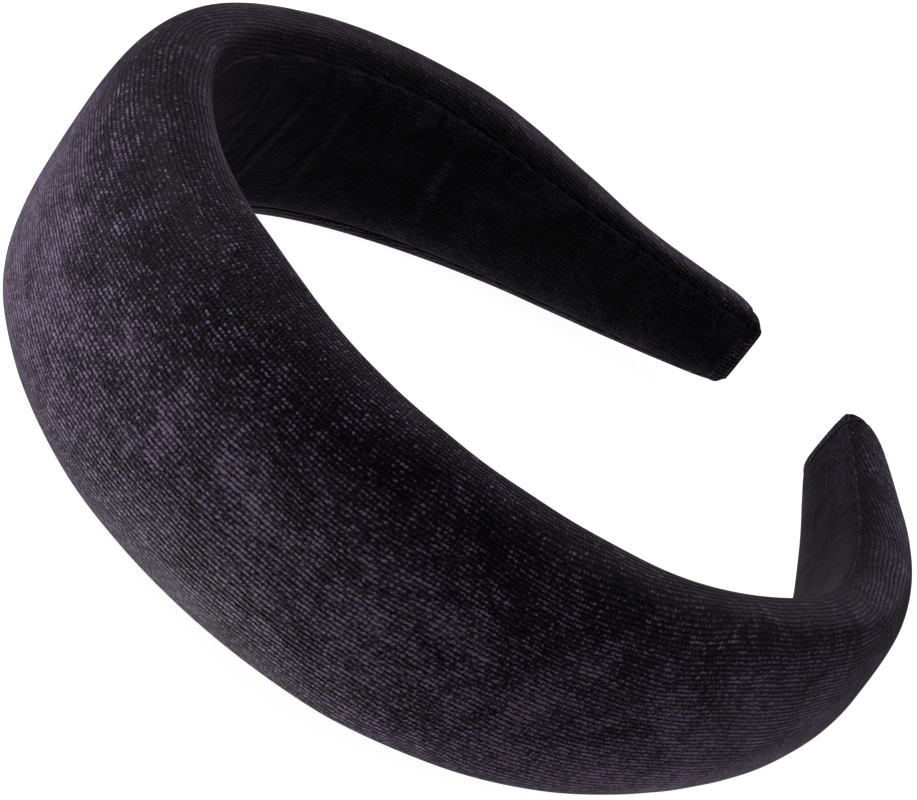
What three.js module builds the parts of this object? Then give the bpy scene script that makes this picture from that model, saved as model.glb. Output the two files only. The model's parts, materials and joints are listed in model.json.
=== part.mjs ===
// A padded velvet headband, lying on its lower edge as it does on a table.
//
// Millimetres, +Z up. The crown of the band is towards -Y and its two tips are towards +Y.
// Every long strip in the band (core, adhesive, foam, cover, lining) is one piece on the real object.
// Here each is made as a left and a right half that meet at the crown, because the band's springing
// open is stood in for by one hinge there. The gap between the halves is the room that hinge needs.

import * as THREE from 'three';

// ---- Driving dimensions ---------------------------------------------------------------------

// The inner face seen from above, one smooth curve a side: it leaves the crown along X, runs along +Y
// at its widest point and closes in to the tip. The "ease" lengths set how gently it does each.
const CROWN_EASE = 35;
const WIDEST = { half: 58, along: 60.5, easeBefore: 37 };
const LEFT_TIP = { half: 16.5, along: 147, headingDeg: 122, easeAfter: 34, easeTip: 34, lift: 5.5 };
const RIGHT_TIP = { half: 7, along: 144, headingDeg: 146, easeAfter: 31, easeTip: 54, lift: 11 };
const LIFT_FROM = 0.5;            // fraction of an arm after which its lower edge rises off the table

// Height of the band and depth of its padding at even steps from crown to tip.
const BAND_HEIGHT = [48.5, 47.5, 42, 35.5, 25.2, 15.4];
const PAD_DEPTH = [20.5, 17, 14.2, 14.2, 13.4, 8];

// The section is rounded like a loaf: domed outside, flatter with round corners inside.
const OUTER_ROUNDNESS = 2.7;
const INNER_ROUNDNESS = 4.4;
const BELLY = 0.48;               // where the section is tallest, as a fraction of its depth
const REST_FLAT = 0.4;            // how far the lower edge is pressed flat by lying on it

// The arm thins over its last stretch, to the pinched and folded end of the cloth.
const TAPER_LENGTH = 9;
const TAPER_DEPTH = 0.4;          // depth left at the very end, as a fraction
const TAPER_HEIGHT = 0.9;
const TIP_FOLD_LENGTH = 3;

// Layers, from the head outwards.
const CLEARANCE = 0.3;
const LINING_THICKNESS = 0.8;
const CLOTH_THICKNESS = 1.0;
const CORE_FACE = 1.8;            // distance of the core from the inner face of the band
const CORE_THICKNESS = 1.4;
const TAPE_THICKNESS = 0.4;
const LINING_SHARE = 0.8;         // heights of the inner strips, as a share of the band's height
const CORE_SHARE = 0.56;
const TAPE_SHARE = 0.4;

// How far the band springs, in degrees of the whole band, and the room that leaves between halves.
const OPEN_RANGE = 44;
const CLOSE_RANGE = 8;
const ROOM_TO_SPARE = 1;
const CROWN_GAP = 0.6;
const CROWN_RADIUS = 62;          // how tightly the inner face turns at the crown

// Fineness of the faceted solids.
const STATIONS = 24;
const DOME_STEPS = 20;
const FOAM_STEPS = 14;
const LINING_STEPS = 5;
const FOLD_STEPS = 20;

const LEFT = -1;
const RIGHT = 1;

// ---- Shape of an arm ------------------------------------------------------------------------

// Plan curve of one arm's inner face, drawn on the +X side.
function planCurve(tip) {
  const heading = THREE.MathUtils.degToRad(tip.headingDeg);
  const crown = new THREE.Vector2(0, 0);
  const widest = new THREE.Vector2(WIDEST.half, WIDEST.along);
  const end = new THREE.Vector2(tip.half, tip.along);
  const inward = new THREE.Vector2(Math.cos(heading), Math.sin(heading)).multiplyScalar(tip.easeTip);
  const path = new THREE.CurvePath();
  path.add(new THREE.CubicBezierCurve(
    crown,
    new THREE.Vector2(CROWN_EASE, 0),
    new THREE.Vector2(WIDEST.half, WIDEST.along - WIDEST.easeBefore),
    widest,
  ));
  path.add(new THREE.CubicBezierCurve(
    widest,
    new THREE.Vector2(WIDEST.half, WIDEST.along + tip.easeAfter),
    end.clone().sub(inward),
    end,
  ));
  return path;
}

// Smooth curve through values at even steps, level at the crown.
function profile(values, u) {
  const last = values.length - 1;
  const step = Math.min(Math.floor(u * last), last - 1);
  const before = step > 0 ? values[step - 1] : values[1];
  const here = values[step];
  const next = values[step + 1];
  const after = step + 2 > last ? 2 * values[last] - values[last - 1] : values[step + 2];
  const f = u * last - step;
  const bend = 2 * before - 5 * here + 4 * next - after;
  const twist = 3 * (here - next) + after - before;
  return here + 0.5 * f * (next - before + f * (bend + f * twist));
}

// Section of the band a fraction u along an arm: half height, depth, belly and how high it sits.
function sectionAt(arm, u) {
  const intoTaper = Math.max(0, (u - 1) * arm.length / TAPER_LENGTH + 1);
  const roundOff = Math.sqrt(Math.max(0, 1 - intoTaper ** 2));
  const half = profile(BAND_HEIGHT, u) / 2 * THREE.MathUtils.lerp(TAPER_HEIGHT, 1, roundOff);
  const depth = profile(PAD_DEPTH, u) * THREE.MathUtils.lerp(TAPER_DEPTH, 1, roundOff);
  const rise = Math.max(0, (u - LIFT_FROM) / (1 - LIFT_FROM));
  const middle = profile(BAND_HEIGHT, u) / 2 - REST_FLAT + arm.tip.lift * rise ** 2;
  return { half, depth, belly: BELLY * depth, middle };
}

// A point of the section's rounded outline at angle theta, set in by "inset".
// x is the distance out from the inner face and y the height from the middle of the band.
function skinPoint(section, theta, inset) {
  const cosine = Math.cos(theta);
  const sine = Math.sin(theta);
  const outside = sine >= 0;
  const power = 2 / (outside ? OUTER_ROUNDNESS : INNER_ROUNDNESS);
  const reach = (outside ? section.depth - section.belly : section.belly) - inset;
  const out = section.belly + Math.sign(sine) * reach * Math.abs(sine) ** power;
  const up = Math.sign(cosine) * (section.half - inset) * Math.abs(cosine) ** power;
  return new THREE.Vector2(out, Math.max(up, REST_FLAT + inset - section.half));
}

// Angle at which the inner side of the outline is at a given height above the middle.
function angleAtHeight(section, height, inset) {
  return -Math.acos((height / (section.half - inset)) ** (INNER_ROUNDNESS / 2));
}

// Angle at which the upper half of the outline is a given distance out from the inner face.
function angleAtDepth(section, out, inset) {
  const outside = out >= section.belly;
  const reach = (outside ? section.depth - section.belly : section.belly) - inset;
  const share = Math.abs(out - section.belly) / reach;
  const sine = share ** ((outside ? OUTER_ROUNDNESS : INNER_ROUNDNESS) / 2);
  return Math.asin(outside ? sine : -sine);
}

function arc(section, from, to, steps, inset) {
  const points = [];
  for (let i = 0; i <= steps; i += 1) {
    points.push(skinPoint(section, from + (to - from) * i / steps, inset));
  }
  return points;
}

function strip(face, thickness, height) {
  return [
    new THREE.Vector2(face, -height / 2),
    new THREE.Vector2(face + thickness, -height / 2),
    new THREE.Vector2(face + thickness, height / 2),
    new THREE.Vector2(face, height / 2),
  ];
}

// ---- Solids ---------------------------------------------------------------------------------

// Half the room left between the two halves of the band, at a distance out from the inner face.
function crownRoom(out) {
  const pivot = CORE_FACE + CORE_THICKNESS / 2;
  const range = out > pivot ? OPEN_RANGE : CLOSE_RANGE;
  const slope = Math.tan(THREE.MathUtils.degToRad(range / 2 + ROOM_TO_SPARE));
  return CROWN_GAP / 2 + slope * Math.abs(out - pivot);
}

// Where a point of the section lies when it is a distance s along the arm's inner face.
function place(arm, s, point, middle) {
  const u = s / arm.length;
  const spot = arm.curve.getPoint(u);
  const tangent = arm.curve.getTangent(u);
  return [
    arm.side * (spot.x + tangent.y * point.x),
    spot.y - tangent.x * point.x,
    middle + point.y,
  ];
}

// A closed solid swept along an arm. outline(section) gives the same number of points everywhere,
// anticlockwise with "out" to the right and "up" upwards. A piece that starts at the crown has its
// first face cut back to leave the room between the halves.
function sweep(arm, outline, { from = 0, to = arm.length, stations = STATIONS } = {}) {
  const positions = [];
  let ring = [];
  for (let j = 0; j <= stations; j += 1) {
    const share = j / stations;
    const section = sectionAt(arm, (from + (to - from) * share) / arm.length);
    ring = outline(section);
    for (const point of ring) {
      const room = from > 0 ? 0 : CROWN_RADIUS * Math.asin(crownRoom(point.x) / (CROWN_RADIUS + point.x));
      const s = THREE.MathUtils.lerp(from + room, to, share);
      positions.push(...place(arm, s, point, section.middle));
    }
  }
  const count = ring.length;
  const index = [];
  for (let j = 0; j < stations; j += 1) {
    for (let i = 0; i < count; i += 1) {
      const a = j * count + i;
      const b = j * count + (i + 1) % count;
      index.push(a, a + count, b, b, a + count, b + count);
    }
  }
  const firstFace = THREE.ShapeUtils.triangulateShape(outline(sectionAt(arm, from / arm.length)), []);
  const lastFace = THREE.ShapeUtils.triangulateShape(ring, []);
  const lastRow = stations * count;
  for (const [a, b, c] of firstFace) index.push(a, b, c);
  for (const [a, b, c] of lastFace) index.push(lastRow + a, lastRow + c, lastRow + b);
  if (arm.side === LEFT) index.reverse();
  const geometry = new THREE.BufferGeometry();
  geometry.setAttribute('position', new THREE.Float32BufferAttribute(positions, 3));
  geometry.setIndex(index);
  geometry.computeVertexNormals();
  return geometry;
}

// ---- Materials ------------------------------------------------------------------------------

const velvet = () => new THREE.MeshStandardMaterial({ color: 0x2f2833, roughness: 0.95, metalness: 0 });
const darkVelvet = () => new THREE.MeshStandardMaterial({ color: 0x15121a, roughness: 1, metalness: 0 });
const sponge = () => new THREE.MeshStandardMaterial({ color: 0xe6dfc8, roughness: 0.9, metalness: 0 });
const plastic = () => new THREE.MeshStandardMaterial({ color: 0x101012, roughness: 0.5, metalness: 0 });
const tape = () => new THREE.MeshStandardMaterial({ color: 0xf2f0e8, roughness: 0.7, metalness: 0 });

// ---- Pieces ---------------------------------------------------------------------------------

// Velvet cover: round the dome, in over both edges and turned in beside the lining.
function coverOutline(section) {
  const flapHeight = section.half * LINING_SHARE + CLEARANCE;
  const outer = angleAtHeight(section, flapHeight, 0);
  const inner = angleAtHeight(section, flapHeight, CLOTH_THICKNESS);
  return [
    ...arc(section, Math.PI - outer, outer, DOME_STEPS, 0),
    ...arc(section, inner, Math.PI - inner, DOME_STEPS, CLOTH_THICKNESS),
  ];
}

// Velvet lining: follows the inner side from one turned-in edge of the cover to the other.
function liningOutline(section) {
  const height = section.half * LINING_SHARE;
  const face = angleAtHeight(section, height, 0);
  const back = angleAtHeight(section, height, LINING_THICKNESS);
  return [
    ...arc(section, face, -Math.PI - face, LINING_STEPS, 0),
    ...arc(section, -Math.PI - back, back, LINING_STEPS, LINING_THICKNESS),
  ];
}

// Foam pad: flat where it is stuck to the core, domed outside.
function foamOutline(section) {
  const base = CORE_FACE + CORE_THICKNESS + TAPE_THICKNESS + 2 * CLEARANCE;
  const inset = CLOTH_THICKNESS + CLEARANCE;
  const start = angleAtDepth(section, base, inset);
  return arc(section, Math.PI - start, start, FOAM_STEPS, inset);
}

const coreOutline = (section) => strip(CORE_FACE, CORE_THICKNESS, 2 * section.half * CORE_SHARE);
const tapeOutline = (section) => strip(
  CORE_FACE + CORE_THICKNESS + CLEARANCE,
  TAPE_THICKNESS,
  2 * section.half * TAPE_SHARE,
);

// Closed end: the cloth pinched together, folded over and stuck down.
function foldOutline(section) {
  return arc(section, 2 * Math.PI, 0, FOLD_STEPS, 0).slice(0, -1);
}

function addPiece(group, name, geometry, material) {
  const mesh = new THREE.Mesh(geometry, material);
  mesh.name = name;
  group.add(mesh);
}

function makeHalf(side, tip) {
  const curve = planCurve(tip);
  const arm = { side, tip, curve, length: curve.getLength() };
  const word = side === LEFT ? 'left' : 'right';
  const stripEnd = { to: arm.length - TIP_FOLD_LENGTH - CLEARANCE };
  const foldEnd = { from: arm.length - TIP_FOLD_LENGTH, stations: 3 };
  const half = new THREE.Group();
  addPiece(half, `core_band_${word}`, sweep(arm, coreOutline, stripEnd), plastic());
  addPiece(half, `adhesive_strip_${word}`, sweep(arm, tapeOutline, stripEnd), tape());
  addPiece(half, `foam_pad_${word}`, sweep(arm, foamOutline, stripEnd), sponge());
  addPiece(half, `velvet_cover_${word}`, sweep(arm, coverOutline, stripEnd), velvet());
  addPiece(half, `velvet_lining_${word}`, sweep(arm, liningOutline, stripEnd), darkVelvet());
  addPiece(half, `tip_fold_${word}`, sweep(arm, foldOutline, foldEnd), velvet());
  return half;
}

// ---- Assembly -------------------------------------------------------------------------------

const headband = new THREE.Group();
headband.add(makeHalf(LEFT, LEFT_TIP));
headband.add(makeHalf(RIGHT, RIGHT_TIP));

// The origin is the middle of the band's footprint, on the table.
const extent = new THREE.Box3().setFromObject(headband);
headband.position.set(-(extent.min.x + extent.max.x) / 2, -(extent.min.y + extent.max.y) / 2, 0);

export default headband;
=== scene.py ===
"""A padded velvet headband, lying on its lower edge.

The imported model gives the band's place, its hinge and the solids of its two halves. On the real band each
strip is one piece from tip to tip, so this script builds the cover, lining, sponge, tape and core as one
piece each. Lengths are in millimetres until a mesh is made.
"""

import json
import math

import bpy
import numpy as np
from mathutils import Matrix, Vector, noise


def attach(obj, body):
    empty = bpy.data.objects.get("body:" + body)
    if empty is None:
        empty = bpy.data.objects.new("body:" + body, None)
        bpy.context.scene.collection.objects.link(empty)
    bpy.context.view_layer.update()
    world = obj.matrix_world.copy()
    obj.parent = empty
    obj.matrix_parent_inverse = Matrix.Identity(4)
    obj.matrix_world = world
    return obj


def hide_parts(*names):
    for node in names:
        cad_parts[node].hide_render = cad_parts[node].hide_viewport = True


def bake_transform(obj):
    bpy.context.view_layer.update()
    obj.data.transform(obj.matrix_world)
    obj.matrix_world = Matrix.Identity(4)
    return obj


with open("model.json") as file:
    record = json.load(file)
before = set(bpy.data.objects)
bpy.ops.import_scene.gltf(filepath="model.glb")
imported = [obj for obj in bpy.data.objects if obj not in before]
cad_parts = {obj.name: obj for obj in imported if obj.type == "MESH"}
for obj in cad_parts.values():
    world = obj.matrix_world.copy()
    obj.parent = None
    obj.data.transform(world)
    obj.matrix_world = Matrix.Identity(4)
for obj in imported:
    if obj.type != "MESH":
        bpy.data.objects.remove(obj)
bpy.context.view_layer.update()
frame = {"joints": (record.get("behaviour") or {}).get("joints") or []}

MM = 0.001

# ---- The band's shape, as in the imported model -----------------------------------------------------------

# Plan curve of the inner face, where it is widest and at the tips. half is the distance out from the middle
# line, along the distance back from the crown, heading the way it runs in degrees, an ease how far it keeps
# to that way, and lift how far a tip is off the table.
CROWN_EASE = 35
WIDEST = {"half": 58, "along": 60.5, "ease_before": 37}
TIPS = {
    "left": {"half": 16.5, "along": 147, "heading": 122, "ease_after": 34, "ease_tip": 34, "lift": 5.5},
    "right": {"half": 7, "along": 144, "heading": 146, "ease_after": 31, "ease_tip": 54, "lift": 11},
}
LIFT_FROM = 0.5          # the arms start to lift from the table this far along

# Sections, at even steps from the crown to the tip.
BAND_HEIGHT = (48.5, 47.5, 42, 35.5, 25.2, 15.4)
PAD_DEPTH = (20.5, 17, 14.2, 14.2, 13.4, 8)
OUTER_ROUNDNESS = 2.7    # 2 is an ellipse, and more is squarer
INNER_ROUNDNESS = 3.6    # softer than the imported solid's, which has to hold the core
BELLY = 0.48             # how deep the highest and lowest lines are, as a share of the depth
REST_FLAT = 0.4          # how much of the lower edge is pressed flat on the table
TAPER_LENGTH = 9         # each tip is pinched over this length, to these shares
TAPER_DEPTH = 0.4
TAPER_HEIGHT = 0.9
FOLD_LENGTH = 3

# Layers, from the head outwards.
CLOTH = 1.0
LINING_THICKNESS = 0.8
CORE_FACE = 1.8          # how deep the core starts
CORE = 1.4
TAPE = 0.4
CLEARANCE = 0.3
LINING_SHARE = 0.8       # of the band's height
CORE_SHARE = 0.56
TAPE_SHARE = 0.4

HINGE = frame["joints"][0]
HINGE_DEPTH = CORE_FACE + CORE / 2
CROWN_Y = HINGE["pos_m"][1] / MM + HINGE_DEPTH     # where the inner face crosses the middle of the crown

CURVE_STEPS = 600        # points worked out on each of the two curves of an arm
ARC_STEPS = 700          # and round a section, before they are spaced evenly


def bezier(points):
    t = np.linspace(0, 1, CURVE_STEPS)[:, None]
    a, b, c, d = (np.array(p, float) for p in points)
    return (1 - t) ** 3 * a + 3 * (1 - t) ** 2 * t * b + 3 * (1 - t) * t**2 * c + t**3 * d


class Arm:
    """Plan curve of one arm's inner face, drawn on the +X side, measured along from the crown."""

    def __init__(self, side, tip):
        self.side = side
        self.lift = tip["lift"]
        heading = math.radians(tip["heading"])
        widest = (WIDEST["half"], WIDEST["along"])
        end = (tip["half"], tip["along"])
        before_end = (
            end[0] - tip["ease_tip"] * math.cos(heading),
            end[1] - tip["ease_tip"] * math.sin(heading),
        )
        first = [(0, 0), (CROWN_EASE, 0), (widest[0], widest[1] - WIDEST["ease_before"]), widest]
        last = [widest, (widest[0], widest[1] + tip["ease_after"]), before_end, end]
        self.points = np.vstack([bezier(first), bezier(last)[1:]])
        self.along = np.concatenate([[0], np.cumsum(np.hypot(*np.diff(self.points, axis=0).T))])
        self.length = self.along[-1]
        slope = np.gradient(self.points, self.along, axis=0)
        slope[0] = (1, 0)
        self.slope = slope / np.linalg.norm(slope, axis=1)[:, None]

    def at(self, s):
        """Point on the inner face and the direction out of it, s along the arm."""
        x, y = (np.interp(s, self.along, self.points[:, k]) for k in (0, 1))
        tx, ty = (np.interp(s, self.along, self.slope[:, k]) for k in (0, 1))
        size = np.hypot(tx, ty)
        return self.side * x, y, self.side * ty / size, -tx / size


ARMS = {"left": Arm(-1, TIPS["left"]), "right": Arm(1, TIPS["right"])}


def arm_of(sigma):
    return ARMS["left" if sigma < 0 else "right"]


def profile(values, u):
    """Smooth curve through values at even steps, level at the crown. u runs from 0 to 1."""
    last = len(values) - 1
    step = min(int(u * last), last - 1)
    before = values[step - 1] if step > 0 else values[1]
    here, after_here = values[step], values[step + 1]
    after = values[step + 2] if step + 2 <= last else 2 * values[last] - values[last - 1]
    f = u * last - step
    bend = 2 * before - 5 * here + 4 * after_here - after
    twist = 3 * (here - after_here) + after - before
    return here + 0.5 * f * (after_here - before + f * (bend + f * twist))


class Section:
    """Rounded section of the band at sigma: millimetres along from the crown, negative on the left arm."""

    def __init__(self, sigma):
        arm = arm_of(sigma)
        u = min(abs(sigma) / arm.length, 1)
        into_taper = max(0.0, (u - 1) * arm.length / TAPER_LENGTH + 1)
        round_off = math.sqrt(max(0.0, 1 - into_taper**2))
        full_half = profile(BAND_HEIGHT, u) / 2
        self.sigma = sigma
        self.half = full_half * (TAPER_HEIGHT + (1 - TAPER_HEIGHT) * round_off)
        self.depth = profile(PAD_DEPTH, u) * (TAPER_DEPTH + (1 - TAPER_DEPTH) * round_off)
        self.belly = BELLY * self.depth
        rise = max(0.0, (u - LIFT_FROM) / (1 - LIFT_FROM))
        self.middle = full_half - REST_FLAT + arm.lift * rise**2
        self.x, self.y, self.nx, self.ny = arm.at(abs(sigma))

    def outline(self, theta, inset=0.0):
        """Points (out, up) at angles theta: 0 is the top edge, a right angle the outermost line."""
        cosine, sine = np.cos(theta), np.sin(theta)
        outside = sine >= 0
        power = np.where(outside, 2 / OUTER_ROUNDNESS, 2 / INNER_ROUNDNESS)
        reach = np.where(outside, self.depth - self.belly, self.belly) - inset
        out = self.belly + np.sign(sine) * reach * np.abs(sine) ** power
        up = np.sign(cosine) * (self.half - inset) * np.abs(cosine) ** power
        return np.stack([out, np.maximum(up, REST_FLAT + inset - self.half)], 1)

    def angle_at_height(self, height, inset=0.0):
        """Angle at which the inner side is this high above the middle."""
        return -math.acos((height / (self.half - inset)) ** (INNER_ROUNDNESS / 2))

    def angle_at_depth(self, out, inset):
        """Angle at which the upper half is this far out."""
        outside = out >= self.belly
        reach = (self.depth - self.belly if outside else self.belly) - inset
        roundness = OUTER_ROUNDNESS if outside else INNER_ROUNDNESS
        sine = (abs(out - self.belly) / reach) ** (roundness / 2)
        return math.asin(sine if outside else -sine)

    def even_arc(self, first, last, count, inset=0.0):
        """Evenly spaced points from angle first to last, their distance across, and normals.

        The distance is from the outermost line where the arc crosses it, and from the arc's middle elsewhere.
        """
        theta = np.linspace(first, last, ARC_STEPS)
        dense = self.outline(theta, inset)
        length = np.concatenate([[0], np.cumsum(np.hypot(*np.diff(dense, axis=0).T))])
        even = np.linspace(0, length[-1], count)
        points = np.stack([np.interp(even, length, dense[:, k]) for k in (0, 1)], 1)
        middle = np.interp(math.pi / 2, theta, length) if last > math.pi / 2 else length[-1] / 2
        across = even - middle
        along = np.gradient(points, axis=0)
        along /= np.maximum(np.linalg.norm(along, axis=1), 1e-9)[:, None]
        normals = np.stack([-along[:, 1], along[:, 0]], 1)
        return points, across, normals

    def place(self, points):
        """Points (out, up) of this section in the frame, in metres."""
        x = self.x + self.nx * points[:, 0]
        y = self.y + self.ny * points[:, 0] + CROWN_Y
        return np.stack([x, y, self.middle + points[:, 1]], 1) * MM


def stations(from_sigma, to_sigma, spacing):
    count = max(2, round((to_sigma - from_sigma) / spacing) + 1)
    return np.linspace(from_sigma, to_sigma, count)


BAND_FROM = -(ARMS["left"].length - FOLD_LENGTH)
BAND_TO = ARMS["right"].length - FOLD_LENGTH


# ---- Mesh helpers ---------------------------------------------------------------------------------------

CLOTH_SPAN = 400         # millimetres of cloth across a map
SPOT_STEP = 4            # the nearest spot is sought among every fourth point of a curve
POINTS_AT_ONCE = 4000    # to save memory


def add_map(mesh, name, places):
    """A named map of two distances for each vertex, in millimetres."""
    layer = mesh.uv_layers.new(name=name)
    flat = np.concatenate(places) / CLOTH_SPAN + 0.5
    loops = np.zeros(len(mesh.loops), np.int32)
    mesh.loops.foreach_get("vertex_index", loops)
    layer.data.foreach_set("uv", flat[loops].astype(np.float32).ravel())


def swept_piece(name, rings, maps, material, seams=None):
    """A closed skin through rings of points, which is closed at both ends by quads across the ring.

    maps holds the place along and across the cloth for each point, and seams its distance from a seam and the
    height of the crease it is on.
    """
    rows, count = len(rings), len(rings[0])
    vertices = np.concatenate(rings)
    faces = []
    for j in range(rows - 1):
        for i in range(count):
            k = (i + 1) % count
            faces.append((j * count + i, j * count + k, (j + 1) * count + k, (j + 1) * count + i))
    half = count // 2
    for row, turn in ((0, 1), (rows - 1, -1)):
        for i in range(half - 1):
            quad = (i, i + 1, count - 2 - i, count - 1 - i)
            faces.append(tuple(row * count + v for v in quad[::turn]))
    mesh = bpy.data.meshes.new(name)
    mesh.from_pydata(vertices.tolist(), [], faces)
    add_map(mesh, "cloth", maps)
    if seams is not None:
        add_map(mesh, "seam", seams)
    mesh.polygons.foreach_set("use_smooth", [True] * len(mesh.polygons))
    mesh.materials.append(material)
    mesh.validate()
    piece = bpy.data.objects.new(name, mesh)
    bpy.context.scene.collection.objects.link(piece)
    make_normals_point_out(piece)
    return piece


def make_normals_point_out(piece):
    mesh = piece.data
    mesh.calc_loop_triangles()
    volume = 0.0
    for triangle in mesh.loop_triangles:
        a, b, c = (mesh.vertices[v].co for v in triangle.vertices)
        volume += a.dot(b.cross(c))
    if volume < 0:
        mesh.flip_normals()


def distance_along_band(points):
    """Signed distance along the band of the spot on the inner face nearest to each point, in millimetres."""
    spots, sigmas = [], []
    for arm in ARMS.values():
        every = slice(None, None, SPOT_STEP)
        spots.append(np.stack([arm.side * arm.points[every, 0], arm.points[every, 1] + CROWN_Y], 1))
        sigmas.append(arm.side * arm.along[every])
    spots, sigmas = np.concatenate(spots), np.concatenate(sigmas)
    flat = points[:, :2] / MM
    nearest = np.concatenate([
        np.argmin(((part[:, None] - spots[None]) ** 2).sum(2), axis=1)
        for part in np.array_split(flat, max(1, len(flat) // POINTS_AT_ONCE))
    ])
    return sigmas[nearest]


def bend_along_band(piece):
    """Sets each point of the strip to its distance along the band, then puts every point back where it was.

    The tips curl back level with the crown, so the distance is measured with the band rolled out straight.
    """
    vertices = piece.data.vertices
    real = np.zeros(len(vertices) * 3, np.float32)
    vertices.foreach_get("co", real)
    straight = np.zeros((len(vertices), 3), np.float32)
    straight[:, 0] = distance_along_band(real.reshape(-1, 3)) * MM
    vertices.foreach_set("co", straight.ravel())
    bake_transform(piece)
    vertices.foreach_set("co", real)
    piece.data.update()


def both(node):
    """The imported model's two halves of a piece."""
    return f"{node}_left", f"{node}_right"


# ---- Materials ------------------------------------------------------------------------------------------

class Shader:
    """A node material with short ways to add and join nodes."""

    def __init__(self, name):
        self.material = bpy.data.materials.new(name)
        self.material.use_nodes = True
        self.tree = self.material.node_tree
        self.surface = self.tree.nodes["Principled BSDF"]

    def add(self, kind, **settings):
        node = self.tree.nodes.new(kind)
        for key, value in settings.items():
            setattr(node, key, value)
        return node

    def join(self, output, target):
        self.tree.links.new(output, target)

    def math(self, operation, *values):
        node = self.add("ShaderNodeMath", operation=operation)
        for socket, value in zip(node.inputs, values):
            if isinstance(value, (int, float)):
                socket.default_value = value
            else:
                self.join(value, socket)
        return node.outputs[0]

    def noise(self, vector, scale, detail, roughness=0.5, distortion=0.0):
        node = self.add("ShaderNodeTexNoise")
        self.join(vector, node.inputs["Vector"])
        node.inputs["Scale"].default_value = scale
        node.inputs["Detail"].default_value = detail
        node.inputs["Roughness"].default_value = roughness
        node.inputs["Distortion"].default_value = distortion
        return node.outputs["Fac"]

    def ramp(self, factor, stops):
        node = self.add("ShaderNodeValToRGB")
        self.join(factor, node.inputs["Fac"])
        elements = node.color_ramp.elements
        while len(elements) < len(stops):
            elements.new(0.5)
        for element, (position, colour) in zip(elements, stops):
            element.position = position
            element.color = (*colour, 1)
        return node.outputs["Color"]

    def centred(self, texture, amount):
        """A texture that runs from 0 to 1, as a rise and fall about 0 by amount in all."""
        return self.math("MULTIPLY_ADD", texture, amount, -amount / 2)

    def bump(self, height, distance, strength, normal=None):
        node = self.add("ShaderNodeBump")
        node.inputs["Strength"].default_value = strength
        node.inputs["Distance"].default_value = distance
        self.join(height, node.inputs["Height"])
        if normal is not None:
            self.join(normal, node.inputs["Normal"])
        return node.outputs["Normal"]

    def cloth_map(self, name="cloth"):
        """A map written by add_map, in millimetres: the place on the cloth along the band and across it."""
        place = self.add("ShaderNodeUVMap", uv_map=name)
        scale = self.add("ShaderNodeVectorMath", operation="MULTIPLY_ADD")
        self.join(place.outputs["UV"], scale.inputs[0])
        scale.inputs[1].default_value = (CLOTH_SPAN, CLOTH_SPAN, 0)
        scale.inputs[2].default_value = (-CLOTH_SPAN / 2, -CLOTH_SPAN / 2, 0)
        return scale.outputs["Vector"]

    def split(self, vector):
        parts = self.add("ShaderNodeSeparateXYZ")
        self.join(vector, parts.inputs[0])
        return parts.outputs["X"], parts.outputs["Y"]

    def set(self, **values):
        for key, value in values.items():
            self.surface.inputs[key.replace("_", " ")].default_value = value


# The knit, in millimetres.
RIB_PITCH = 0.83         # from rib to rib across the cloth
STITCH_PITCH = 0.56      # from stitch to stitch along a rib
DRIFT = (-7, 5)          # how far the knit drifts along and across the cloth
FRAY = (-0.8, 0.5)       # how far its stitches stray
STITCH_LIGHT = (0.65, 0.35)    # how much of a rib's light varies along each stitch, and how much stays
CHANCE_LIGHT = (1.1, 0.3)      # how much differs by chance from stitch to stitch, and how much doesn't
MEAN_DASH = 0.3          # the light of a rib where the pile hides the knit

# Noise over the cloth's map, which is in millimetres.
DRIFT_NOISE = {"scale": 0.03, "detail": 2}
FRAY_NOISE = {"scale": 1.1, "detail": 2}
PILE_NOISE = {"scale": 1.9, "detail": 3, "roughness": 0.8}
PATCH_NOISE = {"scale": 0.5, "detail": 4, "roughness": 0.7, "distortion": 0.4}
CRUSH_NOISE = {"scale": 0.13, "detail": 5, "roughness": 0.65, "distortion": 0.5}

# How far each lightens and darkens the pile, and its depth in millimetres and strength in the surface.
PILE_TONE, PATCH_TONE, CRUSH_TONE = 5.6, 2.0, 2.4
PILE_RELIEF, PATCH_RELIEF, CRUSH_RELIEF, KNIT_RELIEF = (0.12, 0.7), (0.4, 0.5), (1.2, 0.5), (0.16, 0.8)

THIN_PILE = (2.4, -0.7)  # how the patches thin the pile, from 0 where it hides the ribs to 1
PAINTED_LIGHT_SHADE_WIDTH = 36         # painted light over this much of one half of the cloth, painted shade over the other
PAINTED_LIGHT_SHADE_START = -0.4       # the phase of that painted light and shade on the outermost line, in radians,
PAINTED_LIGHT_SHADE_SWERVE = 2.0       # and how far the crushed patches shift it
SEAM_SHADE_FADE = 6            # the painted shade of the two velvets is evened out along their seam, and differs this far from it
CREASE_PAINTED_HIGHLIGHT = 5           # painted highlight: how much lighter the pile is painted for each millimetre that a crease stands up

TONES = (0, 0.16, 0.35, 0.85)    # where a velvet's four colours lie, from the deepest to the one that is lit
SHADOW = (0.0008, 0.0007, 0.001)
SHEEN_TINT = (0.92, 0.78, 1, 1)
SHEEN_ROUGHNESS = 0.3
VELVET_ROUGHNESS = 0.5
VELVET_SPECULAR = 0.08


def wave(shader, position, pitch):
    """Evenly spaced crests, 0 to 1, and the number of the nearest crest."""
    steps = shader.math("DIVIDE", position, pitch)
    crest = shader.math("COSINE", shader.math("MULTIPLY", steps, 2 * math.pi))
    return shader.math("MULTIPLY_ADD", crest, 0.5, 0.5), shader.math("ROUND", steps)


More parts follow.
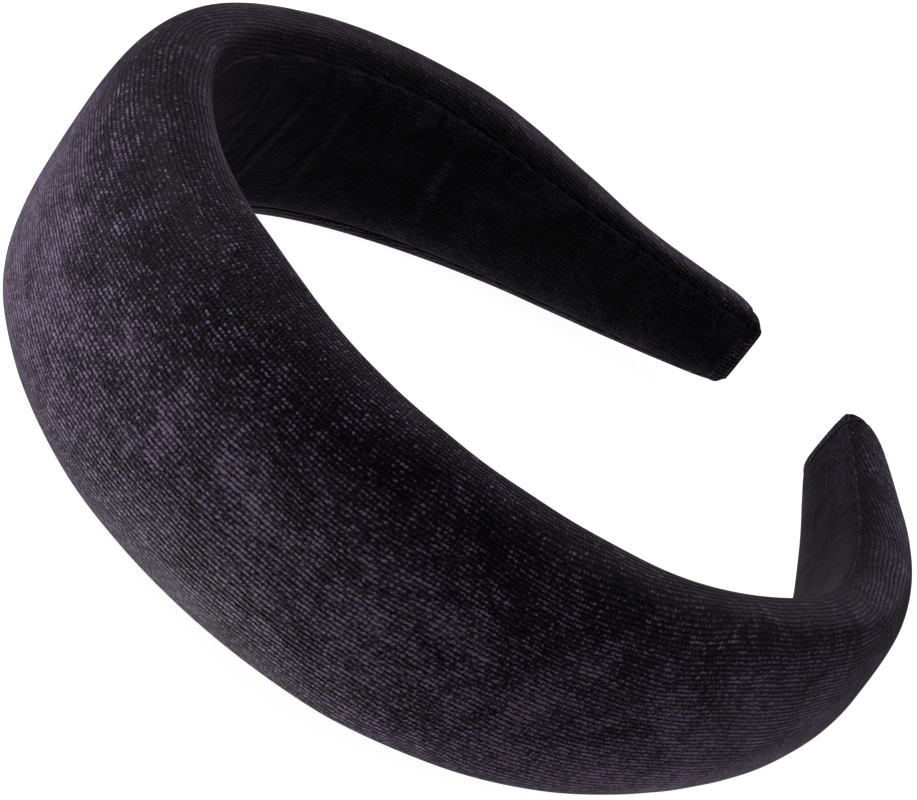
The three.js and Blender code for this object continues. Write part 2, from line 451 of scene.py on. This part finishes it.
def velvet(name, rib_share, painted_light_shade, painted_seam_shade, sheen, colours):
    """Stretch velvet: a ribbed knit under a short pile, crushed in patches that catch the light.

    rib_share is how much of the knit shows, painted_light_shade how far painted light and shade lighten
    one half of the band and darken the other, and painted_seam_shade how light the colour is painted
    along the seam.
    """
    shader = Shader(name)
    cloth = shader.cloth_map()
    along, across = shader.split(cloth)
    seam_distance, fold = shader.split(shader.cloth_map("seam"))

    for noise_settings, (by_along, by_across) in ((DRIFT_NOISE, DRIFT), (FRAY_NOISE, FRAY)):
        stray = shader.noise(cloth, **noise_settings)
        along = shader.math("ADD", along, shader.math("MULTIPLY", stray, by_along))
        across = shader.math("ADD", across, shader.math("MULTIPLY", stray, by_across))
    ribs, row = wave(shader, across, RIB_PITCH)
    stitches, column = wave(shader, along, STITCH_PITCH)
    cell = shader.add("ShaderNodeCombineXYZ")
    shader.join(row, cell.inputs[0])
    shader.join(column, cell.inputs[1])
    chance = shader.add("ShaderNodeTexWhiteNoise", noise_dimensions="2D")
    shader.join(cell.outputs[0], chance.inputs["Vector"])
    knit = shader.math("MULTIPLY", ribs, shader.math("MULTIPLY_ADD", stitches, *STITCH_LIGHT))
    chance_light = shader.math("MULTIPLY_ADD", chance.outputs["Value"], *CHANCE_LIGHT)
    dash = shader.math("MULTIPLY", knit, chance_light)

    pile = shader.noise(cloth, **PILE_NOISE)
    crushed = shader.noise(cloth, **CRUSH_NOISE)
    patches = shader.noise(cloth, **PATCH_NOISE)

    # The ribs show through where the pile is thin.
    thin = shader.math("MULTIPLY_ADD", patches, *THIN_PILE)
    thin.node.use_clamp = True
    shown = shader.math("MULTIPLY", thin, rib_share)
    dash = shader.math("MULTIPLY_ADD", shader.math("SUBTRACT", dash, MEAN_DASH), shown, MEAN_DASH)

    # Painted light and shade, here called lean: one half of the band is painted lighter and the other darker,
    # the painted shade is evened out along the seam, and a painted highlight lies on each crease.
    painted_light_shade_wave = shader.math("MULTIPLY_ADD", across, math.pi / PAINTED_LIGHT_SHADE_WIDTH, PAINTED_LIGHT_SHADE_START)
    painted_light_shade_wave = shader.math("SINE", shader.math("ADD", painted_light_shade_wave, shader.math("MULTIPLY", crushed, PAINTED_LIGHT_SHADE_SWERVE)))
    lean = shader.math("MULTIPLY_ADD", painted_light_shade_wave, painted_light_shade, 1)
    # Painted shade at the seam: the cover is painted darker and the lining lighter close to it.
    near = shader.math("MULTIPLY_ADD", seam_distance, -1 / SEAM_SHADE_FADE, 1)
    near.node.use_clamp = True
    lean = shader.math("MULTIPLY", lean, shader.math("MULTIPLY_ADD", near, painted_seam_shade - 1, 1))
    # A painted highlight on each crease that stands up.
    lean = shader.math("MULTIPLY_ADD", fold, CREASE_PAINTED_HIGHLIGHT, lean)

    nap = shader.centred(crushed, CRUSH_TONE)
    nap = shader.math("ADD", nap, shader.centred(patches, PATCH_TONE))
    nap = shader.math("ADD", nap, shader.centred(pile, PILE_TONE))
    tone = shader.math("MULTIPLY", dash, shader.math("ADD", nap, 1))
    tone = shader.math("MULTIPLY", tone, lean)
    shader.join(shader.ramp(tone, list(zip(TONES, colours))), shader.surface.inputs["Base Color"])

    normal = None
    for height, share, (depth, strength) in (
        (crushed, 1, CRUSH_RELIEF),
        (patches, 1, PATCH_RELIEF),
        (knit, rib_share, KNIT_RELIEF),
        (pile, 1, PILE_RELIEF),
    ):
        normal = shader.bump(height, depth * MM * share, strength, normal)
    shader.join(normal, shader.surface.inputs["Normal"])
    shader.set(
        Roughness=VELVET_ROUGHNESS,
        Specular_IOR_Level=VELVET_SPECULAR,
        Sheen_Weight=sheen,
        Sheen_Roughness=SHEEN_ROUGHNESS,
        Sheen_Tint=SHEEN_TINT,
    )
    return shader.material


VELVET = velvet(
    "crushed_velvet",
    rib_share=1,
    painted_light_shade=0.42,
    painted_seam_shade=0.42,
    sheen=0.28,
    colours=(SHADOW, (0.009, 0.0065, 0.011), (0.042, 0.0285, 0.053), (0.31, 0.225, 0.37)),
)
# The lining is the cover's velvet with its colours painted several times darker, as painted shade on the
# inner face.
LINING_PAINTED_SHADE_VELVET = velvet(
    "lining_velvet_painted_shade",
    rib_share=0.25,
    painted_light_shade=0,
    painted_seam_shade=1.8,
    sheen=0.12,
    colours=(SHADOW, (0.0024, 0.002, 0.003), (0.0046, 0.004, 0.0064), (0.034, 0.029, 0.045)),
)

GRAIN_NOISE = {"detail": 5, "roughness": 0.65}
GRAIN_STOPS = (0.35, 0.65)
GRAIN_STRENGTH = 0.6


def plain_material(name, colour, roughness, grain_scale, grain_depth, spread=0.25):
    """A matt material with fine grain in its colour and surface. spread is how far the colour varies."""
    shader = Shader(name)
    place = shader.add("ShaderNodeTexCoord").outputs["Object"]
    grain = shader.noise(place, grain_scale, **GRAIN_NOISE)
    darker = tuple(c * (1 - spread) for c in colour)
    lighter = tuple(min(1, c * (1 + spread)) for c in colour)
    tones = shader.ramp(grain, list(zip(GRAIN_STOPS, (darker, lighter))))
    shader.join(tones, shader.surface.inputs["Base Color"])
    shader.join(shader.bump(grain, grain_depth, GRAIN_STRENGTH), shader.surface.inputs["Normal"])
    shader.set(Roughness=roughness)
    return shader.material


SPONGE = plain_material(
    "sponge", colour=(0.72, 0.66, 0.5), roughness=0.95, grain_scale=1600, grain_depth=0.4 * MM
)
CORE_PLASTIC = plain_material(
    "core_plastic", colour=(0.02, 0.02, 0.022), roughness=0.45, grain_scale=900, grain_depth=0.03 * MM
)
TAPE_PAPER = plain_material(
    "tape", colour=(0.85, 0.83, 0.76), roughness=0.7, grain_scale=2500, grain_depth=0.03 * MM, spread=0.08
)


# ---- Pieces ---------------------------------------------------------------------------------------------

# Points round a section, and the distance between sections.
COVER_POINTS = 104
LINING_POINTS = 48
FOAM_POINTS = 40
STRIP_POINTS = 16
FOLD_POINTS = 64
FOLD_RINGS = 18
CLOTH_SPACING = 1.1
INNER_SPACING = 3

STRIP_ROUNDNESS = 8      # nearly square edges

# How far the padding rises and falls, over which distances along and across the band, and the noise's slice.
LUMP, LUMP_REACH, LUMP_SLICE = 0.35, (31, 24), 3.7
CRUSH, CRUSH_REACH, CRUSH_SLICE = 0.12, (9, 8), 9.1
LINING_LUMPS = 0.4       # the lining's share of the padding's unevenness
LINING_SHIFT = 90        # so that its lumps differ from the cover's
SEAM_CALM = 5            # the padding is even this close to the seam,
REST_CALM = 2            # and this close to the table

SEAM_GAP = 0.04          # between the cover's turned-in edge and the lining, at rest
SEAM_DIP = 0.05          # how far both sink towards the seam
SEAM_WIDTH = 0.9
HEM_DIP = 0.08           # and where the cloth is pinched in for the closed end
HEM_WIDTH = 1
TIP_ROUNDING = 0.9       # how much the closed end rounds over

# Where the padding is plumper or thinner: place along and across the band, height, reach along and across it.
SWELLS = (
    (-188, -9, 0.4, 6, 7),
    (-166, -12, -0.95, 12, 8),
    (-131, -17, 0.85, 15, 9),
    (-114, 24, 1.1, 22, 8),
    (-32, 19, 0.75, 14, 9),
    (3, -35, 1.0, 13, 6),
    (20, 24, -0.65, 14, 9),
    (45, 24, 0.35, 5, 7),
    (57, 22, -0.45, 7, 8),
    (60, -30, 0.55, 14, 7),
    (130, 5, 0.5, 12, 10),
    (165, -10, 0.5, 15, 8),
    (170, 17, 1.0, 12, 7),
    (188, 15, 0.8, 7, 7),
)


def lumps(sigma, across):
    """Height of the unevenness of soft padding under cloth."""
    broad = noise.noise(Vector((sigma / LUMP_REACH[0], across / LUMP_REACH[1], LUMP_SLICE)))
    small = noise.noise(Vector((sigma / CRUSH_REACH[0], across / CRUSH_REACH[1], CRUSH_SLICE)))
    height = LUMP * broad + CRUSH * small
    for place, side, rise, reach_along, reach_across in SWELLS:
        away = ((sigma - place) / reach_along) ** 2 + ((across - side) / reach_across) ** 2
        height += rise * math.exp(-away)
    return height


def bell(distance, height, width):
    """A soft rise or dip, at a distance from its middle."""
    return height * np.exp(-(distance / width) ** 2)


def from_seam(across):
    """Distance of each point of a strip from the nearer of its two edges."""
    return np.minimum(across - across[0], across[-1] - across)


def hem_dip(sigma):
    """How far the cloth sinks close to the closed end of its arm."""
    arm = arm_of(sigma)
    return bell(arm.length - FOLD_LENGTH - abs(sigma), HEM_DIP, HEM_WIDTH)


# Soft creases across the lining, where the band's curve squeezes it: place along it, lean, height and width.
CREASES = (
    (-124, 0.1, 0.25, 1.4),
    (-98, -0.1, 0.35, 1.1),
    (-86, -0.24, 0.5, 0.9),
    (-75, -0.2, 0.35, 1.0),
    (-58, 0.2, 0.2, 1.3),
    (-38, 0.1, 0.25, 1.2),
    (-9, 0.15, 0.2, 1.4),
    (21, 0.1, 0.25, 1.2),
    (48, 0.2, 0.25, 1.2),
    (77, 0.15, 0.4, 1.0),
    (89, 0.2, 0.45, 0.9),
    (103, -0.1, 0.3, 1.2),
)
TROUGH_SHARE = 0.5       # the cloth sinks beside a crease by this share of its height,
TROUGH_WIDTH = 2.2       # over this many times its width


def creases(sigma, across, half):
    """Height of the lining's creases, which fade towards its edges."""
    fade = np.clip(1 - (across / half) ** 2, 0, 1)
    height = np.zeros(len(across))
    for place, lean, rise, width in CREASES:
        away = sigma - place - lean * across
        height += bell(away, rise, width) - bell(away, TROUGH_SHARE * rise, TROUGH_WIDTH * width)
    return height * fade


def cloth_strip(name, material, sections, count):
    """A strip of cloth as a closed shell. sections gives the face, back, places across and folds of each."""
    rings, maps, seams = [], [], []
    for section, face, back, across, folds in sections:
        rings.append(np.concatenate([section.place(face), section.place(back[::-1])]))
        there = np.stack([np.full(count, section.sigma), across], 1)
        maps.append(np.concatenate([there, there[::-1]]))
        inward = np.stack([from_seam(across), folds], 1)
        seams.append(np.concatenate([inward, inward[::-1]]))
    strip = swept_piece(name, rings, maps, material, seams)
    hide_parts(*both(name))
    return strip


def cover_sections(count):
    """The velvet from one turned-in edge, round the dome, to the other."""
    for sigma in stations(BAND_FROM, BAND_TO, CLOTH_SPACING):
        section = Section(sigma)
        edge = section.half * LINING_SHARE + SEAM_GAP
        start = section.angle_at_height(edge)
        face, across, outward = section.even_arc(start, math.pi - start, count)
        start = section.angle_at_height(edge, CLOTH)
        back, _, _ = section.even_arc(start, math.pi - start, count, CLOTH)
        inward = from_seam(across)
        swell = np.array([lumps(sigma, a) for a in across]) * np.clip(inward / SEAM_CALM, 0, 1)
        swell -= bell(inward, SEAM_DIP, SEAM_WIDTH) + hem_dip(sigma)
        swell *= np.clip((section.middle + face[:, 1]) / REST_CALM, 0, 1)
        yield section, face + outward * swell[:, None], back, across, np.zeros(count)


def lining_sections(count):
    """The velvet strip on the inner side, from seam to seam."""
    for sigma in stations(BAND_FROM, BAND_TO, CLOTH_SPACING):
        section = Section(sigma)
        edge = section.half * LINING_SHARE
        start = section.angle_at_height(edge)
        face, across, outward = section.even_arc(-math.pi - start, start, count)
        start = section.angle_at_height(edge, LINING_THICKNESS)
        back, _, _ = section.even_arc(-math.pi - start, start, count, LINING_THICKNESS)
        inward = from_seam(across)
        folds = creases(sigma, across, edge)
        swell = LINING_LUMPS * np.array([lumps(sigma, a + LINING_SHIFT) for a in across])
        swell *= np.clip(inward / SEAM_CALM, 0, 1)
        swell += folds - bell(inward, SEAM_DIP, SEAM_WIDTH) - hem_dip(sigma)
        yield section, face + outward * swell[:, None], back, across, folds


def make_cover(foam):
    sections = list(cover_sections(COVER_POINTS))
    cover = cloth_strip("velvet_cover", VELVET, sections, COVER_POINTS)
    bend_along_band(cover)


def make_lining(core):
    sections = list(lining_sections(LINING_POINTS))
    lining = cloth_strip("velvet_lining", LINING_PAINTED_SHADE_VELVET, sections, LINING_POINTS)
    bend_along_band(lining)


def make_foam():
    """The domed sponge, with a flat face on the tape."""
    rings, maps = [], []
    base = CORE_FACE + CORE + TAPE + 2 * CLEARANCE
    inset = CLOTH + CLEARANCE
    for sigma in stations(BAND_FROM, BAND_TO, INNER_SPACING):
        section = Section(sigma)
        start = section.angle_at_depth(base, inset)
        dome, across, _ = section.even_arc(start, math.pi - start, FOAM_POINTS, inset)
        share = np.linspace(0, 1, FOAM_POINTS)[:, None]
        bottom = dome[-1] * (1 - share) + dome[0] * share
        rings.append(section.place(np.concatenate([dome, bottom])))
        there = np.stack([np.full(FOAM_POINTS, sigma), across], 1)
        maps.append(np.concatenate([there, there[::-1]]))
    foam = swept_piece("foam_pad", rings, maps, SPONGE)
    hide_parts(*both("foam_pad"))
    bend_along_band(foam)
    return foam


def make_strip(name, face, thickness, share, material):
    """A flat strip with rounded edges, bent along the band."""
    rings, maps = [], []
    theta = np.linspace(0, 2 * math.pi, STRIP_POINTS, endpoint=False)
    power = 2 / STRIP_ROUNDNESS
    for sigma in stations(BAND_FROM, BAND_TO, INNER_SPACING):
        section = Section(sigma)
        out = face + thickness / 2 * (1 + np.sign(np.sin(theta)) * np.abs(np.sin(theta)) ** power)
        up = section.half * share * np.sign(np.cos(theta)) * np.abs(np.cos(theta)) ** power
        rings.append(section.place(np.stack([out, up], 1)))
        maps.append(np.stack([np.full(STRIP_POINTS, sigma), up], 1))
    strip = swept_piece(name, rings, maps, material)
    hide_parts(*both(name))
    bend_along_band(strip)
    return strip


def make_tip_fold(word):
    """The cloth's end at one tip, pinched together and folded over."""
    arm = ARMS[word]
    rings, maps, seams = [], [], []
    theta = np.linspace(0, 2 * math.pi, FOLD_POINTS, endpoint=False)
    for into in FOLD_LENGTH * np.sin(np.linspace(0, math.pi / 2, FOLD_RINGS)):
        section = Section(arm.side * (arm.length - FOLD_LENGTH + into))
        inset = bell(into, HEM_DIP, HEM_WIDTH) + bell(FOLD_LENGTH - into, TIP_ROUNDING, TIP_ROUNDING)
        ring = section.outline(theta, inset)
        rings.append(section.place(ring))
        maps.append(np.stack([np.full(FOLD_POINTS, section.sigma), ring[:, 1]], 1))
        seams.append(np.zeros((FOLD_POINTS, 2)))
    fold = swept_piece(f"tip_fold_{word}_cloth", rings, maps, VELVET, seams)
    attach(fold, f"{word}_half")
    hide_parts(f"tip_fold_{word}")


make_cover(make_foam())
make_lining(make_strip("core_band", CORE_FACE, CORE, CORE_SHARE, CORE_PLASTIC))
make_strip("adhesive_strip", CORE_FACE + CORE + CLEARANCE, TAPE, TAPE_SHARE, TAPE_PAPER)
for word in ARMS:
    make_tip_fold(word)


# ---- Camera ---------------------------------------------------------------------------------------------

CAMERA = {"azimuth": 34.23, "elevation": 29.11, "roll": 37.32, "distance": 596, "lens": 146.7}
VIEW_DEPTH = 20          # metres
AIM_BACK = 60            # the aim's distance back from the crown,
AIM_HEIGHT = 24          # and its height
AIM = Vector((0, AIM_BACK + CROWN_Y, AIM_HEIGHT - REST_FLAT))
AIM_OFFSET = (4.95, 4.49)    # how far right and up of the middle of the view the aim is


def camera_axes():
    """Right, up and back of the camera in the frame."""
    a, e, r = (math.radians(CAMERA[k]) for k in ("azimuth", "elevation", "roll"))
    back = Vector((math.sin(a) * math.cos(e), -math.cos(a) * math.cos(e), math.sin(e)))
    level = Vector((math.cos(a), math.sin(a), 0))
    above = back.cross(level)
    right = math.cos(r) * level + math.sin(r) * above
    up = -math.sin(r) * level + math.cos(r) * above
    return right, up, back


RIGHT, UP, BACK = camera_axes()


def make_camera():
    data = bpy.data.cameras.new("camera")
    data.lens = CAMERA["lens"]
    data.clip_end = VIEW_DEPTH
    camera = bpy.data.objects.new("camera", data)
    place = (AIM - AIM_OFFSET[0] * RIGHT - AIM_OFFSET[1] * UP + CAMERA["distance"] * BACK) * MM
    turn = Matrix((RIGHT, UP, BACK)).transposed()
    camera.matrix_world = Matrix.Translation(place) @ turn.to_4x4()
    bpy.context.scene.collection.objects.link(camera)
    bpy.context.scene.camera = camera


# ---- Floor and lights -----------------------------------------------------------------------------------

# The stage, in metres.
STAGE_RADIUS = 6
WALL_HEIGHT = 8
STAGE_SIDES = 64
STAGE_GREY = (0.3, 0.3, 0.3, 1)
STAGE_ROUGHNESS = 0.9
STAGE_GLOW = 0.96
WHITE = (1, 1, 1, 1)


def make_stage():
    """A pale light table and wall. They show white, and leave the lighting to the lamps."""
    shader = Shader("pale_stage")
    shader.set(
        Base_Color=STAGE_GREY,
        Roughness=STAGE_ROUGHNESS,
        Emission_Color=WHITE,
        Emission_Strength=STAGE_GLOW,
    )
    turns = np.linspace(0, 2 * math.pi, STAGE_SIDES, endpoint=False)
    rim = [(STAGE_RADIUS * math.cos(t), STAGE_RADIUS * math.sin(t), 0) for t in turns]
    top = [(x, y, WALL_HEIGHT) for x, y, _ in rim]
    follows = [(i + 1) % STAGE_SIDES for i in range(STAGE_SIDES)]
    walls = [(i, k, STAGE_SIDES + k, STAGE_SIDES + i) for i, k in enumerate(follows)]
    mesh = bpy.data.meshes.new("stage")
    mesh.from_pydata(rim + top, [], [tuple(range(STAGE_SIDES)), *walls])
    mesh.materials.append(shader.material)
    stage = bpy.data.objects.new("stage", mesh)
    stage.visible_diffuse = False
    stage.visible_glossy = False
    stage.visible_shadow = False
    bpy.context.scene.collection.objects.link(stage)


# Soft round lamps: direction in the camera's view (right, up, back) and power in watts.
LAMPS = {
    "key_lamp": ((-0.7, -0.62, -0.34), 5.8),       # shines up through the table, low on the left
    "side_lamp": ((-0.93, -0.16, -0.34), 0.8),
    "low_lamp": ((-0.31, -0.94, 0.15), 0.3),
    "corner_lamp": ((-0.8, 0.58, 0.15), 1.3),
    "top_lamp": ((-0.31, 0.94, 0.15), 5.0),
    "right_lamp": ((0.99, 0.1, 0.1), 1.6),
    "fill_lamp": ((-0.18, -0.31, 0.93), 0.5),
}
LAMP_DISTANCE = 0.9      # metres
LAMP_SIZE = 0.5
AMBIENT = 0.07


def make_lights():
    for name, (direction, power) in LAMPS.items():
        data = bpy.data.lights.new(name, "AREA")
        data.shape = "DISK"
        data.size = LAMP_SIZE
        data.energy = power
        lamp = bpy.data.objects.new(name, data)
        towards = (direction[0] * RIGHT + direction[1] * UP + direction[2] * BACK).normalized()
        lamp.location = AIM * MM + towards * LAMP_DISTANCE
        lamp.rotation_euler = towards.to_track_quat("Z", "Y").to_euler()
        lamp.visible_camera = False
        bpy.context.scene.collection.objects.link(lamp)
    world = bpy.data.worlds.new("studio")
    world.use_nodes = True
    background = world.node_tree.nodes["Background"]
    background.inputs["Strength"].default_value = AMBIENT
    background.inputs["Color"].default_value = WHITE
    bpy.context.scene.world = world
    bpy.context.scene.view_settings.view_transform = "Standard"


make_camera()
make_stage()
make_lights()
